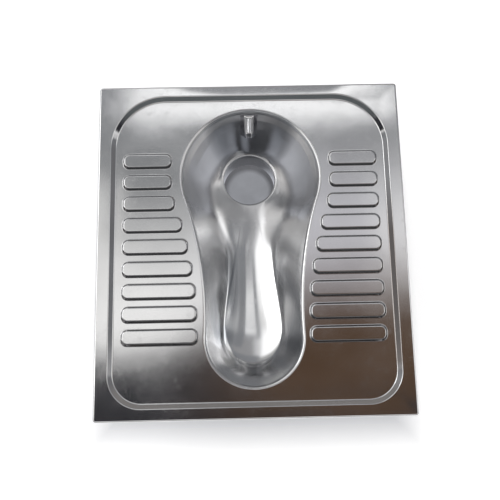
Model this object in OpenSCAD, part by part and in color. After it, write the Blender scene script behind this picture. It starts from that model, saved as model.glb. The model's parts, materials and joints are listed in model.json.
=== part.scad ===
// Squat toilet pan pressed from stainless sheet, for setting flush into a floor.
// +X is right, +Y is towards the wall with the flush inlet, +Z is up.
// The origin is on the slab, under the middle of the deck.

/* [Deck] */
// Width of the deck, left to right
deck_w = 500; // [460:5:640]
// Length of the deck, front to back
deck_l = 550; // [500:5:700]
// Thickness of the pressed deck sheet
deck_t = 1.5; // [1:0.1:2.5]
// Depth of the skirt that is turned down round the deck
skirt_h = 30; // [22:1:45]
// Radius of the skirt's four corners, seen from above
skirt_corner_r = 5; // [4:0.5:12]
// Outside radius of the bend between deck and skirt
skirt_bend_r = 3; // [2.6:0.1:3.9]

/* [Recessed foot area] */
// Width of the raised border at the left and the right
border_side = 21; // [12:1:40]
// Width of the raised border at the back
border_back = 18; // [12:1:40]
// Width of the raised border at the front
border_front = 19; // [12:1:40]
// How far the foot area lies below the border
recess_drop = 7; // [3:0.5:12]
// Width of the slope that leads down from the border
recess_run = 7; // [4:0.5:14]
// Radius of the recess's back corners at the border
recess_back_r = 90; // [40:1:110]
// Radius of the recess's front corners at the border
recess_front_r = 53; // [30:1:90]

/* [Treads] */
// Number of raised treads on each side
tread_count = 9; // [5:1:9]
// Distance from one tread to the next
tread_pitch = 36.4; // [32:0.2:37]
// Size of one tread from front to back
tread_l = 26.5; // [20:0.5:30]
// Radius of a tread's corners
tread_corner_r = 11; // [6:0.5:13]
// Height of a tread above the foot area
tread_rise = 3.5; // [1.5:0.5:6]
// Width of the slope round a tread
tread_run = 3; // [2:0.5:5]
// Distance from the recess's slope at the back to the rearmost tread's middle
tread_inset = 105; // [90:1:115]
// Distance from the treads' outer ends to the recess's slope
tread_side_gap = 12; // [6:1:30]
// Distance from the rearmost tread to the bowl opening
tread_back_gap = 18; // [12:1:24]
// Distance from the foremost tread to the bowl opening
tread_front_gap = 13; // [10:1:20]

/* [Bowl opening] */
// Radius of the opening's wide rear end
open_back_r = 112; // [100:1:118]
// Radius of the opening's front end
open_front_r = 76; // [66:1:84]
// Distance from the recess's slope at the back to the opening
open_back_gap = 20; // [16:1:33]
// Distance from the recess's slope at the front to the opening
open_front_gap = 24; // [13:1:43]
// Radius of the inward sweep along each side
open_flank_r = 620; // [450:10:1500]
// Radius of the bowl's rounded rim, which is welded flush into the deck
lip_r = 4; // [3:0.5:6]
// Depth below the foot area at which the bowl's walls begin to slope
collar_h = 7; // [6.5:0.5:12]

/* [Bowl] */
// Thickness of the bowl sheet
bowl_t = 1.5; // [1:0.1:2.5]
// Depth of the drain's edge below the foot area
bowl_depth = 140; // [120:5:190]
// Depth of the trough's front end below the foot area
trough_depth = 100; // [80:5:115]
// How much the trough's floor rises from its middle to its sides
trough_hollow = 12; // [4:1:20]
// Width of the dish round the drain, in which the floor levels out
drain_dish = 30; // [20:1:45]
// Radius of the trough floor's front end
floor_front_r = 56; // [46:1:60]
// How far that front end's centre lies behind the opening's
floor_inset = 12; // [4:1:24]
// Radius of the inward sweep along the trough floor's sides
floor_flank_r = 900; // [700:10:2000]
// Share of roundness in the bowl's walls, 0 for straight walls
wall_roundness = 0.35; // [0:0.05:0.6]

/* [Outlet] */
// Outside radius of the outlet spigot
spigot_r = 50; // [45:0.5:55]
// Wall thickness of the outlet spigot
spigot_t = 2; // [1.5:0.1:3]
// Distance from the drain's edge down to the spigot's end
spigot_drop = 56; // [50:1:120]
// How far the outlet's axis lies behind the centre of the opening's rear end
drain_offset = 38; // [32:1:42]
// Radius of the rounded edge round the drain
drain_edge_r = 4; // [3:0.5:5]
// Flat ring between the drain's edge and the bowl's walls
drain_land = 4.7; // [3:0.1:6]
// Length of the drain's collar inside the spigot
drain_collar_h = 10; // [5:1:20]
// Height of the rolled bead that stops the seal from sliding down
stop_bead = 1.2; // [0.8:0.1:2]
// Width of the weld bead under the bowl at the spigot
weld_w = 2.5; // [1:0.5:4]
// Height of the rubber seal on the spigot
seal_h = 16; // [12:1:20]
// Thickness of the rubber seal's sleeve
seal_t = 3; // [2:0.5:5]
// How far the seal's two lips stand out from its sleeve
seal_lip = 4; // [2:0.5:6]
// Distance from the drain's edge down to the seal
seal_drop = 9; // [8:1:12]

/* [Flush inlet] */
// Outside radius of the flush nipple
inlet_r = 13.4; // [10:0.1:16]
// Wall thickness of the flush nipple
inlet_t = 1.6; // [1.2:0.1:2.5]
// Length of the flush nipple behind the bowl wall
inlet_l = 27; // [22:1:30]
// Room between the flush pipe and the skirt's lower edge
inlet_skirt_gap = 2.5; // [1:0.5:8]
// Thickness of the rubber connector on the nipple
connector_t = 4; // [3:0.5:6]
// Length of the rubber connector
connector_l = 30; // [26:1:32]
// Length of the nipple inside the connector
connector_grip = 15; // [10:1:18]
// Inside radius of the connector's free end, for the flush pipe
flush_pipe_r = 14; // [13.8:0.1:16.5]
// Height of the rings round the connector's ends
connector_ring = 1; // [0.5:0.5:2]
// Width of the flush hood at its top
hood_top_w = 38; // [30:1:44]
// Width of the flush hood at its mouth
hood_mouth_w = 25; // [22:1:30]
// How far the hood stands off the wall at its top
hood_top_rise = 7; // [5:0.5:10]
// How far the hood stands off the wall at its mouth
hood_mouth_rise = 11; // [8:0.5:12]
// Thickness of the hood sheet
hood_t = 1.2; // [0.8:0.1:1.5]
// Depth of the hood's top, as a share of the way down the wall
hood_top_share = 0.02; // [0.01:0.01:0.06]
// Depth of the hood's mouth, as a share of the way down the wall
hood_mouth_share = 0.42; // [0.38:0.01:0.5]

/* [Rails and pads] */
// Width of a stiffening rail across its flanges
rail_w = 40; // [30:1:44]
// Width of a rail's web
rail_web = 20; // [14:1:24]
// Height of a rail
rail_h = 18; // [10:1:24]
// Thickness of the rail sheet
rail_t = 1.5; // [1:0.1:2]
// Length of a rail
rail_l = 420; // [360:5:430]
// Distance from the bowl's collar to a rail
rail_gap = 12; // [8:1:16]
// Thickness of a sound-deadening pad
pad_t = 3; // [2:0.5:6]
// Room round a pad
pad_gap = 5; // [3:1:8]
// Place of the inner pads' back ends, from the middle of the deck
pad_inner_back_y = -10; // [-60:5:0]

/* [Legs] */
// Distance from the deck's ends to the legs' middles
leg_inset = 70; // [55:1:90]
// Width of a leg strip
leg_w = 30; // [24:1:40]
// Thickness of a leg strip
leg_t = 3; // [2:0.5:4]
// Length of the foot that is bent inwards
foot_l = 45; // [38:1:60]
// Inside radius of the bend between leg and foot
leg_bend_r = 3; // [2:0.5:5]
// Diameter of the anchor hole in the foot
anchor_d = 9; // [7:0.5:11]
// Distance from the foot's free end to the anchor hole
anchor_inset = 17; // [14:1:20]
// Distance from the spigot's end down to the slab
base_gap = 12; // [5:1:40]
// Diameter of the studs that hold the legs
stud_d = 8; // [6:1:10]
// Length of the studs
stud_l = 18; // [15:1:25]
// Length of the slot in a leg, for setting the height
slot_l = 22; // [14:1:24]
// Width of a stud's nut across its corners
nut_d = 15; // [12:0.5:18]
// Thickness of a stud's nut
nut_h = 6.5; // [5:0.1:8]
// Diameter of a stud's washer
washer_d = 17; // [15:0.5:22]
// Thickness of a stud's washer
washer_h = 1.6; // [1:0.1:2.5]

/* [Earthing tag] */
// Width of the earthing tag
tag_w = 25; // [16:1:30]
// Height of the earthing tag
tag_h = 40; // [36:1:50]
// Thickness of the earthing tag
tag_t = 2; // [1.5:0.1:3]
// Diameter of the hole in the earthing tag
tag_hole_d = 6.5; // [5:0.5:9]

/* [Hidden] */

$fn = 96;
steel = [0.72, 0.73, 0.74];
tube_steel = [0.62, 0.63, 0.65];
zinc_steel = [0.66, 0.67, 0.66];
rubber_black = [0.12, 0.12, 0.13];
pad_grey = [0.2, 0.2, 0.21];

fit_gap = 0.2;   // between parts that slide into each other
cut = 1;         // how far a cut runs past the face it opens

// Levels
deck_z = recess_drop + bowl_depth + spigot_drop + base_gap;
recess_z = deck_z - recess_drop;
drain_z = recess_z - bowl_depth;
bowl_top_z = recess_z - collar_h;

// Recess outline at the border and at the foot area
recess_w = deck_w - 2 * border_side;
recess_l = deck_l - border_back - border_front;
recess_y = (border_front - border_back) / 2;
floor_w = recess_w - 2 * recess_run;
floor_l = recess_l - 2 * recess_run;
floor_back = recess_y + floor_l / 2;
floor_front = recess_y - floor_l / 2;

// Drain
collar_r = spigot_r - spigot_t - fit_gap;
drain_r = collar_r - bowl_t;
drain_edge_out = drain_r + drain_edge_r;
floor_back_r = drain_edge_out + drain_land;

// The two pear outlines of the bowl: [back y, back r, front y, front r, flank r]
open_back_y = floor_back - open_back_gap - open_back_r;
open_front_y = floor_front + open_front_gap + open_front_r;
drain_y = open_back_y + drain_offset;
floor_front_y = open_front_y + floor_inset;
opening = [open_back_y, open_back_r, open_front_y, open_front_r, open_flank_r];
bowl_floor = [drain_y, floor_back_r, floor_front_y, floor_front_r, floor_flank_r];

// Centre of a pear's right flank arc, which touches both end arcs from outside
function flank_centre(p) =
    let (a = p[4] + p[1], b = p[4] + p[3],
         y = (b * b - a * a + p[0] * p[0] - p[2] * p[2]) / (2 * (p[0] - p[2])))
    [sqrt(a * a - pow(y - p[0], 2)), y];

// Angles, seen from the end arcs' centres, at which the flank takes over
function back_touch(p) = let (c = flank_centre(p)) atan2(c[1] - p[0], c[0]);
function front_touch(p) = let (c = flank_centre(p)) atan2(c[1] - p[2], c[0]);

// Half the width of a pear at a place along the deck
function half_width(p, y) =
    let (c = flank_centre(p),
         back_y = p[0] + p[1] * sin(back_touch(p)),
         front_y = p[2] + p[3] * sin(front_touch(p)))
    y > back_y ? sqrt(max(0, p[1] * p[1] - pow(y - p[0], 2)))
    : y < front_y ? sqrt(max(0, p[3] * p[3] - pow(y - p[2], 2)))
    : c[0] - sqrt(p[4] * p[4] - pow(y - c[1], 2));

// Distance from a point to a pear's outline, positive outside it
function pear_distance(p, x, y) =
    let (c = flank_centre(p),
         side = abs(x),
         over_back = (y - p[0]) * c[0] - (c[1] - p[0]) * side,
         under_front = (y - p[2]) * c[0] - (c[1] - p[2]) * side)
    over_back > 0 ? norm([side, y - p[0]]) - p[1]
    : under_front < 0 ? norm([side, y - p[2]]) - p[3]
    : p[4] - norm([side - c[0], y - c[1]]);

// Points of a pear's outline, moved outwards by grow, anticlockwise from its right flank.
// Every pear has the same number of points, so two of them join ring to ring.
back_steps = 32;
flank_steps = 11;
front_steps = 20;
function right_flank(p, grow) =
    let (c = flank_centre(p), low = front_touch(p) + 180, high = back_touch(p) + 180)
    [for (i = [0 : flank_steps - 1])
        let (a = low + (high - low) * i / flank_steps)
        c + (p[4] - grow) * [cos(a), sin(a)]];
function pear_points(p, grow = 0) =
    let (right = right_flank(p, grow), from = back_touch(p), to = front_touch(p))
    concat(
        right,
        [for (i = [0 : back_steps - 1])
            let (a = from + (180 - 2 * from) * i / back_steps)
            [0, p[0]] + (p[1] + grow) * [cos(a), sin(a)]],
        [for (i = [0 : flank_steps - 1])
            let (c = flank_centre(p), a = from + 180 + (to - from) * i / flank_steps,
                 q = c + (p[4] - grow) * [cos(a), sin(a)])
            [-q[0], q[1]]],
        [for (i = [0 : front_steps - 1])
            let (a = 180 - to + (180 + 2 * to) * i / front_steps)
            [0, p[2]] + (p[3] + grow) * [cos(a), sin(a)]]);

// A rectangle with two radii, as a plane figure with true arcs
module round_rect(w, l, back_r, front_r) {
    for (side = [-1, 1]) {
        translate([side * (w / 2 - back_r), l / 2 - back_r]) circle(r = back_r);
        translate([side * (w / 2 - front_r), front_r - l / 2]) circle(r = front_r);
    }
    translate([-w / 2, front_r - l / 2]) square([w, l - back_r - front_r]);
    translate([back_r - w / 2, 0]) square([w - 2 * back_r, l / 2]);
    translate([front_r - w / 2, -l / 2]) square([w - 2 * front_r, l / 2]);
}

// Carries a profile round such a rectangle. The profile is drawn as [outwards, up].
module sweep_rect(w, l, back_r, front_r) {
    for (side = [0, 1]) mirror([side, 0, 0]) {
        translate([w / 2, l / 2 - back_r, 0]) rotate([90, 0, 0])
            linear_extrude(l - back_r - front_r) children();
        translate([w / 2 - back_r, l / 2 - back_r, 0])
            rotate_extrude(angle = 90) translate([back_r, 0]) children();
        translate([w / 2 - front_r, front_r - l / 2, 0]) rotate([0, 0, -90])
            rotate_extrude(angle = 90) translate([front_r, 0]) children();
    }
    translate([back_r - w / 2, l / 2, 0]) rotate([90, 0, 90])
        linear_extrude(w - 2 * back_r) children();
    translate([w / 2 - front_r, -l / 2, 0]) rotate([90, 0, -90])
        linear_extrude(w - 2 * front_r) children();
}

// Profile of a sheet that slopes inwards from one level to another
module slope_profile(run, from_z, to_z, t) {
    polygon([[0, from_z], [-run, to_z], [-run, to_z - t], [0, from_z - t]]);
}

// Quarter of a ring, open towards [-1, -1] of its corner at the origin
module quarter_ring(r, t) {
    intersection() {
        difference() {
            circle(r = r);
            circle(r = r - t);
        }
        square(r + cut);
    }
}

/* Deck ------------------------------------------------------------------ */

module skirt_profile() {
    translate([-deck_t, deck_z - skirt_h]) square([deck_t, skirt_h - skirt_bend_r]);
    translate([-skirt_bend_r, deck_z - skirt_bend_r]) quarter_ring(skirt_bend_r, deck_t);
}

// Where each tread lies: [middle y, inner end, outer end], with the inner end on a whole millimetre
tread_outer = floor_w / 2 - tread_side_gap;
treads = [for (i = [0 : tread_count - 1])
    let (y = floor_back - tread_inset - i * tread_pitch,
         share = i / (tread_count - 1),
         gap = tread_back_gap + (tread_front_gap - tread_back_gap) * share,
         open_half = max(half_width(opening, y + tread_l / 2), half_width(opening, y - tread_l / 2)))
    [y, round(open_half + gap), tread_outer]];

module at_treads() {
    for (side = [0, 1]) mirror([side, 0, 0])
        for (tread = treads)
            translate([(tread[1] + tread[2]) / 2, tread[0]]) {
                $tread_w = tread[2] - tread[1];
                children();
            }
}

module deck_plate() color(steel) {
    sweep_rect(deck_w, deck_l, skirt_corner_r, skirt_corner_r) skirt_profile();
    translate([0, 0, deck_z - deck_t]) linear_extrude(deck_t) difference() {
        round_rect(deck_w - 2 * skirt_bend_r, deck_l - 2 * skirt_bend_r,
                   skirt_corner_r - skirt_bend_r, skirt_corner_r - skirt_bend_r);
        translate([0, recess_y]) round_rect(recess_w, recess_l, recess_back_r, recess_front_r);
    }
    translate([0, recess_y, 0]) sweep_rect(recess_w, recess_l, recess_back_r, recess_front_r)
        slope_profile(recess_run, deck_z, recess_z, deck_t);
    translate([0, 0, recess_z - deck_t]) linear_extrude(deck_t) difference() {
        translate([0, recess_y])
            round_rect(floor_w, floor_l, recess_back_r - recess_run, recess_front_r - recess_run);
        polygon(pear_points(opening, lip_r));
        at_treads() round_rect($tread_w, tread_l, tread_corner_r, tread_corner_r);
    }
    at_treads() {
        sweep_rect($tread_w, tread_l, tread_corner_r, tread_corner_r)
            slope_profile(tread_run, recess_z, recess_z + tread_rise, deck_t);
        translate([0, 0, recess_z + tread_rise - deck_t]) linear_extrude(deck_t)
            round_rect($tread_w - 2 * tread_run, tread_l - 2 * tread_run,
                       tread_corner_r - tread_run, tread_corner_r - tread_run);
    }
}

/* Bowl ------------------------------------------------------------------ */

// Share of the depth that the wall has reached at a share of its way inwards
function wall_share(w) = (1 - wall_roundness) * w + wall_roundness * sin(90 * w);

// Depth of the bowl's floor below the foot area
floor_front_end = floor_front_y - floor_front_r;
floor_drain_end = drain_y - drain_edge_out;
function floor_depth(x, y) =
    let (along = min(1, max(0, (y - floor_front_end) / (floor_drain_end - floor_front_end))),
         half = y < floor_front_y ? floor_front_r : half_width(bowl_floor, min(y, drain_y)),
         off_middle = min(1, max(0, 1 + pear_distance(bowl_floor, x, y) / half)),
         slope = trough_depth + (bowl_depth - trough_depth) * along,
         plain = slope - trough_hollow * off_middle * off_middle,
         dished = max(0, 1 - (norm([x, y - drain_y]) - drain_edge_out) / drain_dish))
    plain + (bowl_depth - plain) * dished * dished;

// Inner face of the bowl as rings of points, from the collar down to the drain
lip_rings = 3;
wall_rings = 7;
floor_rings = 9;
edge_rings = 3;
open_points = pear_points(opening);
floor_points = pear_points(bowl_floor);
ring_size = len(open_points);
drain_dirs = [for (q = floor_points) let (d = q - [0, drain_y]) d / norm(d)];

function ring_at(outline, z) = [for (q = outline) [q[0], q[1], z]];
function drain_ring(r, z) = ring_at([for (d = drain_dirs) [0, drain_y] + r * d], z);
function wall_point(i, w) =
    let (q = open_points[i] + (floor_points[i] - open_points[i]) * w,
         foot = floor_depth(floor_points[i][0], floor_points[i][1]))
    [q[0], q[1], bowl_top_z - (foot - collar_h) * wall_share(w)];
function floor_point(i, v) =
    let (q = floor_points[i] + ([0, drain_y] + drain_edge_out * drain_dirs[i] - floor_points[i]) * v)
    [q[0], q[1], recess_z - floor_depth(q[0], q[1])];

surface_rings = concat(
    [for (j = [0 : wall_rings - 1]) [for (i = [0 : ring_size - 1]) wall_point(i, j / wall_rings)]],
    [for (j = [0 : floor_rings]) [for (i = [0 : ring_size - 1]) floor_point(i, j / floor_rings)]]);

// The outer face lies one sheet thickness below the inner face, square to it
last_surface = len(surface_rings) - 1;
function outward(i, j) =
    let (ring = surface_rings[j],
         along = ring[(i + 1) % ring_size] - ring[(i + ring_size - 1) % ring_size],
         down = surface_rings[j + 1][i] - surface_rings[j - 1][i],
         n = cross(down, along))
    n / norm(n);
under_rings = concat(
    [ring_at(pear_points(opening, bowl_t), bowl_top_z)],
    [for (j = [1 : last_surface - 1]) [for (i = [0 : ring_size - 1])
        surface_rings[j][i] + bowl_t * outward(i, j)]],
    [ring_at(surface_rings[last_surface], drain_z - bowl_t)]);

// The rim and the drain's edge turn through quarter circles
function lip_ring(r, angle) = ring_at(pear_points(opening, lip_r - r * sin(angle)),
                                      recess_z - lip_r + r * cos(angle));
function edge_ring(r, angle) = drain_ring(drain_edge_out - r * sin(angle),
                                          drain_z - drain_edge_r + r * cos(angle));
lip_angles = [for (k = [0 : lip_rings]) 90 * k / lip_rings];
edge_angles = [for (k = [1 : edge_rings]) 90 * k / edge_rings];
collar_end_z = drain_z - drain_edge_r - drain_collar_h;
inner_face = concat(
    [for (a = lip_angles) lip_ring(lip_r, a)], surface_rings,
    [for (a = edge_angles) edge_ring(drain_edge_r, a)], [drain_ring(drain_r, collar_end_z)]);
outer_face = concat(
    [for (a = lip_angles) lip_ring(lip_r - bowl_t, a)], under_rings,
    [for (a = edge_angles) edge_ring(drain_edge_r - bowl_t, a)], [drain_ring(collar_r, collar_end_z)]);

module bowl_skin() {
    rings = len(inner_face);
    size = rings * ring_size;
    next = [for (i = [0 : ring_size - 1]) (i + 1) % ring_size];
    faces = concat(
        [for (j = [0 : rings - 2]) for (i = [0 : ring_size - 1])
            each let (a = j * ring_size + i, b = j * ring_size + next[i],
                      c = a + ring_size, d = b + ring_size)
            [[a, c, b], [b, c, d], [size + a, size + b, size + c], [size + b, size + d, size + c]]],
        [for (i = [0 : ring_size - 1])
            each let (b = next[i])
            [[i, b, size + i], [b, size + b, size + i]]],
        [for (i = [0 : ring_size - 1])
            each let (a = size - ring_size + i, b = size - ring_size + next[i])
            [[a, size + a, b], [b, size + a, size + b]]]);
    polyhedron(points = concat([for (ring = inner_face) each ring], [for (ring = outer_face) each ring]),
               faces = faces, convexity = 10);
}

// Share of the way down the rear wall at a depth below the foot area
rear_foot = floor_depth(0, drain_y + floor_back_r);
function rear_share(depth, lo = 0, hi = 1, left = 20) =
    let (mid = (lo + hi) / 2, reached = collar_h + (rear_foot - collar_h) * wall_share(mid))
    left == 0 ? mid
    : reached < depth ? rear_share(depth, mid, hi, left - 1)
    : rear_share(depth, lo, mid, left - 1);

// Inner face of the rear wall at a share of the way down and a distance off the middle
function rear_wall_y(share, x = 0) =
    let (y = open_back_y + (drain_y - open_back_y) * share,
         r = open_back_r + (floor_back_r - open_back_r) * share)
    y + sqrt(r * r - x * x);
function rear_wall_z(share) = bowl_top_z - (rear_foot - collar_h) * wall_share(share);

inlet_z = deck_z - skirt_h - inlet_skirt_gap - flush_pipe_r;
inlet_y = rear_wall_y(rear_share(recess_z - inlet_z));

connector_r = max(inlet_r, flush_pipe_r) + connector_t;

module along_inlet(y) {
    translate([0, y, inlet_z]) rotate([-90, 0, 0]) children();
}

module bowl_shell() color(steel) difference() {
    bowl_skin();
    along_inlet(inlet_y - inlet_l) cylinder(r = inlet_r + fit_gap, h = 2 * inlet_l);
}

/* Outlet ---------------------------------------------------------------- */

spigot_end_z = base_gap;
spigot_top_z = drain_z - drain_edge_r;

seal_top_z = drain_z - seal_drop;
seal_end_z = seal_top_z - seal_h;

// Tube with a rolled bead under its seal, and a weld bead that fills the corner under the bowl
module outlet_spigot() color(tube_steel) translate([0, drain_y, 0]) {
    bead_top_z = drain_z - bowl_t - fit_gap;
    stop_z = seal_end_z - fit_gap - stop_bead;
    rotate_extrude() polygon([
        [spigot_r - spigot_t, spigot_end_z], [spigot_r, spigot_end_z],
        [spigot_r, stop_z - stop_bead], [spigot_r + stop_bead, stop_z], [spigot_r, stop_z + stop_bead],
        [spigot_r, bead_top_z - drain_edge_r - weld_w], [spigot_r + weld_w, bead_top_z],
        [drain_edge_out + fit_gap, bead_top_z], [spigot_r - spigot_t, spigot_top_z]]);
}

// Seal with two lips that slope back from the way it is pushed in
module outlet_seal() color(rubber_black) translate([0, drain_y, 0]) {
    in_r = spigot_r + fit_gap;
    out_r = in_r + seal_t;
    lip_h = seal_h / 4;
    lip_edge = lip_h / 3;
    lip_tops = [seal_top_z - lip_h / 2, seal_top_z - seal_h / 2 - lip_h / 2];
    rotate_extrude() polygon(concat(
        [[in_r, seal_end_z], [in_r, seal_top_z], [out_r, seal_top_z]],
        [for (top = lip_tops)
            each [[out_r, top], [out_r + seal_lip, top], [out_r + seal_lip, top - lip_edge],
                  [out_r, top - lip_h]]],
        [[out_r, seal_end_z]]));
}

/* Flush inlet ----------------------------------------------------------- */

// Half cone that leans against the rear wall, closed on top and open at its mouth
hood_top_z = rear_wall_z(hood_top_share);
hood_mouth_z = rear_wall_z(hood_mouth_share);
hood_top_y = rear_wall_y(hood_top_share, hood_top_w / 2) - fit_gap;
hood_mouth_y = rear_wall_y(hood_mouth_share, hood_mouth_w / 2) - fit_gap;
hood_run = norm([hood_top_y - hood_mouth_y, hood_top_z - hood_mouth_z]);
hood_lean = atan2(hood_top_y - hood_mouth_y, hood_top_z - hood_mouth_z);

// Radius of an arc over a chord, and how far its centre lies behind the chord
function arc_r(chord, rise) = (chord * chord / 4 + rise * rise) / (2 * rise);
hood_top_r = arc_r(hood_top_w, hood_top_rise);
hood_mouth_r = arc_r(hood_mouth_w, hood_mouth_rise);
hood_top_back = hood_top_r - hood_top_rise;
hood_mouth_back = hood_mouth_r - hood_mouth_rise;
hood_axis_lean = atan2(hood_top_back - hood_mouth_back, hood_run);
hood_axis_l = hood_run / cos(hood_axis_lean);

// The cone runs past both ends by the same length, and the box below trims it
hood_over = 4 * cut;
hood_taper = (hood_top_r - hood_mouth_r) / hood_axis_l;
module hood_cone(shrink) {
    r = hood_mouth_r - shrink;
    translate([0, hood_mouth_back, 0]) rotate([-hood_axis_lean, 0, 0]) translate([0, 0, -hood_over])
        cylinder(r1 = r - hood_over * hood_taper, r2 = r + (hood_axis_l + hood_over) * hood_taper,
                 h = hood_axis_l + 2 * hood_over);
}

// Everything in front of a plane along the wall, between two levels
module hood_front(back, low, high) {
    depth = 2 * (hood_top_rise + hood_mouth_rise);
    translate([-hood_top_w, back - depth, low]) cube([2 * hood_top_w, depth, high - low]);
}

module flush_hood() color(tube_steel)
    translate([0, hood_mouth_y, hood_mouth_z]) rotate([-hood_lean, 0, 0]) difference() {
        intersection() {
            hood_cone(0);
            hood_front(0, 0, hood_run);
        }
        intersection() {
            hood_cone(hood_t);
            hood_front(cut, -cut, hood_run - hood_t);
        }
    }

module flush_nipple() color(tube_steel) along_inlet(inlet_y) difference() {
    cylinder(r = inlet_r, h = inlet_l);
    translate([0, 0, -cut]) cylinder(r = inlet_r - inlet_t, h = inlet_l + 2 * cut);
}

module flush_connector() color(rubber_black)
    along_inlet(inlet_y + inlet_l - connector_grip) difference() {
        union() {
            cylinder(r = connector_r, h = connector_l);
            for (z = [0, connector_l - connector_t]) translate([0, 0, z])
                cylinder(r = connector_r + connector_ring, h = connector_t);
        }
        translate([0, 0, -cut]) cylinder(r = inlet_r + fit_gap, h = connector_grip + cut);
        translate([0, 0, connector_grip]) cylinder(r = flush_pipe_r, h = connector_l);
    }

/* Rails and pads -------------------------------------------------------- */

under_z = recess_z - deck_t;
rail_x = open_back_r + lip_r + rail_gap + rail_w / 2;

module rail() color(steel) translate([rail_x, rail_l / 2, under_z]) rotate([90, 0, 0])
    linear_extrude(rail_l) {
        for (side = [-1, 1]) {
            translate([side * (rail_w + rail_web) / 4, -rail_t / 2])
                square([(rail_w - rail_web) / 2, rail_t], center = true);
            translate([side * (rail_web - rail_t) / 2, -rail_h / 2])
                square([rail_t, rail_h], center = true);
        }
        translate([0, rail_t / 2 - rail_h]) square([rail_web, rail_t], center = true);
    }

module rail_left() mirror([1, 0, 0]) rail();
module rail_right() rail();

module pad(x0, x1, y0, y1) color(pad_grey)
    translate([x0, y0, under_z - pad_t]) cube([x1 - x0, y1 - y0, pad_t]);

module pad_outer() pad(
    rail_x + rail_w / 2 + pad_gap, floor_w / 2 - pad_gap,
    floor_front + recess_front_r - recess_run, floor_back - recess_back_r + recess_run);

module pad_inner() pad(
    half_width(opening, pad_inner_back_y) + lip_r + pad_gap, rail_x - rail_w / 2 - pad_gap,
    -rail_l / 2, pad_inner_back_y);

module pad_outer_left() mirror([1, 0, 0]) pad_outer();
module pad_outer_right() pad_outer();
module pad_inner_left() mirror([1, 0, 0]) pad_inner();
module pad_inner_right() pad_inner();

/* Legs ------------------------------------------------------------------ */

leg_y = deck_l / 2 - leg_inset;
leg_face_x = deck_w / 2 - deck_t;
leg_top_z = deck_z - skirt_bend_r - deck_t;
stud_z = deck_z - (skirt_h + skirt_bend_r) / 2;
bend_out_r = leg_bend_r + leg_t;
anchor_x = leg_face_x - foot_l + anchor_inset;
slot_w = stud_d + 2 * fit_gap;
slot_z = min(stud_z, leg_top_z - leg_t - slot_l / 2);

// Leg in its own place at the rear right, with its outer face on the skirt
module leg() color(zinc_steel) difference() {
    translate([leg_face_x, leg_y + leg_w / 2, 0]) rotate([90, 0, 0]) linear_extrude(leg_w) {
        translate([-leg_t, bend_out_r]) square([leg_t, leg_top_z - bend_out_r]);
        translate([-bend_out_r, bend_out_r]) mirror([0, 1]) quarter_ring(bend_out_r, leg_t);
        translate([-foot_l, 0]) square([foot_l - bend_out_r, leg_t]);
    }
    translate([anchor_x, leg_y, -cut]) cylinder(d = anchor_d, h = leg_t + 2 * cut);
    translate([leg_face_x - leg_t - cut, leg_y, slot_z]) rotate([0, 90, 0])
        linear_extrude(leg_t + 2 * cut) {
            for (end = [-1, 1]) translate([end * (slot_l - slot_w) / 2, 0]) circle(d = slot_w);
            square([slot_l - slot_w, slot_w], center = true);
        }
}

module leg_front_left() mirror([1, 0, 0]) mirror([0, 1, 0]) leg();
module leg_front_right() mirror([0, 1, 0]) leg();
module leg_rear_left() mirror([1, 0, 0]) leg();
module leg_rear_right() leg();

// Children stand on the inside of the skirt at each leg, pointing inwards
module at_studs(off) {
    for (side = [0, 1]) for (end = [-1, 1]) mirror([side, 0, 0])
        translate([leg_face_x - off, end * leg_y, stud_z]) rotate([0, -90, 0]) children();
}

module leg_studs() color(zinc_steel) at_studs(0) cylinder(d = stud_d, h = stud_l);

module leg_washers() color(zinc_steel) at_studs(leg_t) difference() {
    cylinder(d = washer_d, h = washer_h);
    translate([0, 0, -cut]) cylinder(d = stud_d + 2 * fit_gap, h = washer_h + 2 * cut);
}

module leg_nuts() color(zinc_steel) at_studs(leg_t + washer_h) difference() {
    cylinder(d = nut_d, h = nut_h, $fn = 6);
    translate([0, 0, -cut]) cylinder(d = stud_d + fit_gap, h = nut_h + 2 * cut);
}

/* Earthing tag ---------------------------------------------------------- */

module earth_tag() color(steel)
    translate([0, deck_t + tag_t - deck_l / 2, deck_z - skirt_bend_r - deck_t]) rotate([90, 0, 0])
        linear_extrude(tag_t) difference() {
            translate([-tag_w / 2, -tag_h]) square([tag_w, tag_h]);
            translate([0, tag_w / 4 - tag_h]) circle(d = tag_hole_d);
        }

deck_plate();
bowl_shell();
outlet_spigot();
outlet_seal();
flush_hood();
flush_nipple();
flush_connector();
rail_left();
rail_right();
pad_outer_left();
pad_outer_right();
pad_inner_left();
pad_inner_right();
leg_front_left();
leg_front_right();
leg_rear_left();
leg_rear_right();
leg_studs();
leg_washers();
leg_nuts();
earth_tag();
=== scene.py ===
"""The looks of a pressed stainless squat toilet pan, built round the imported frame.

Sizes are in millimetres, and a mesh is turned into metres when it is made.
+X is right, +Y is towards the wall with the flush inlet, +Z is up.
"""
import json
import math

import bpy
import numpy as np
from mathutils import Matrix, Vector, geometry

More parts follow.
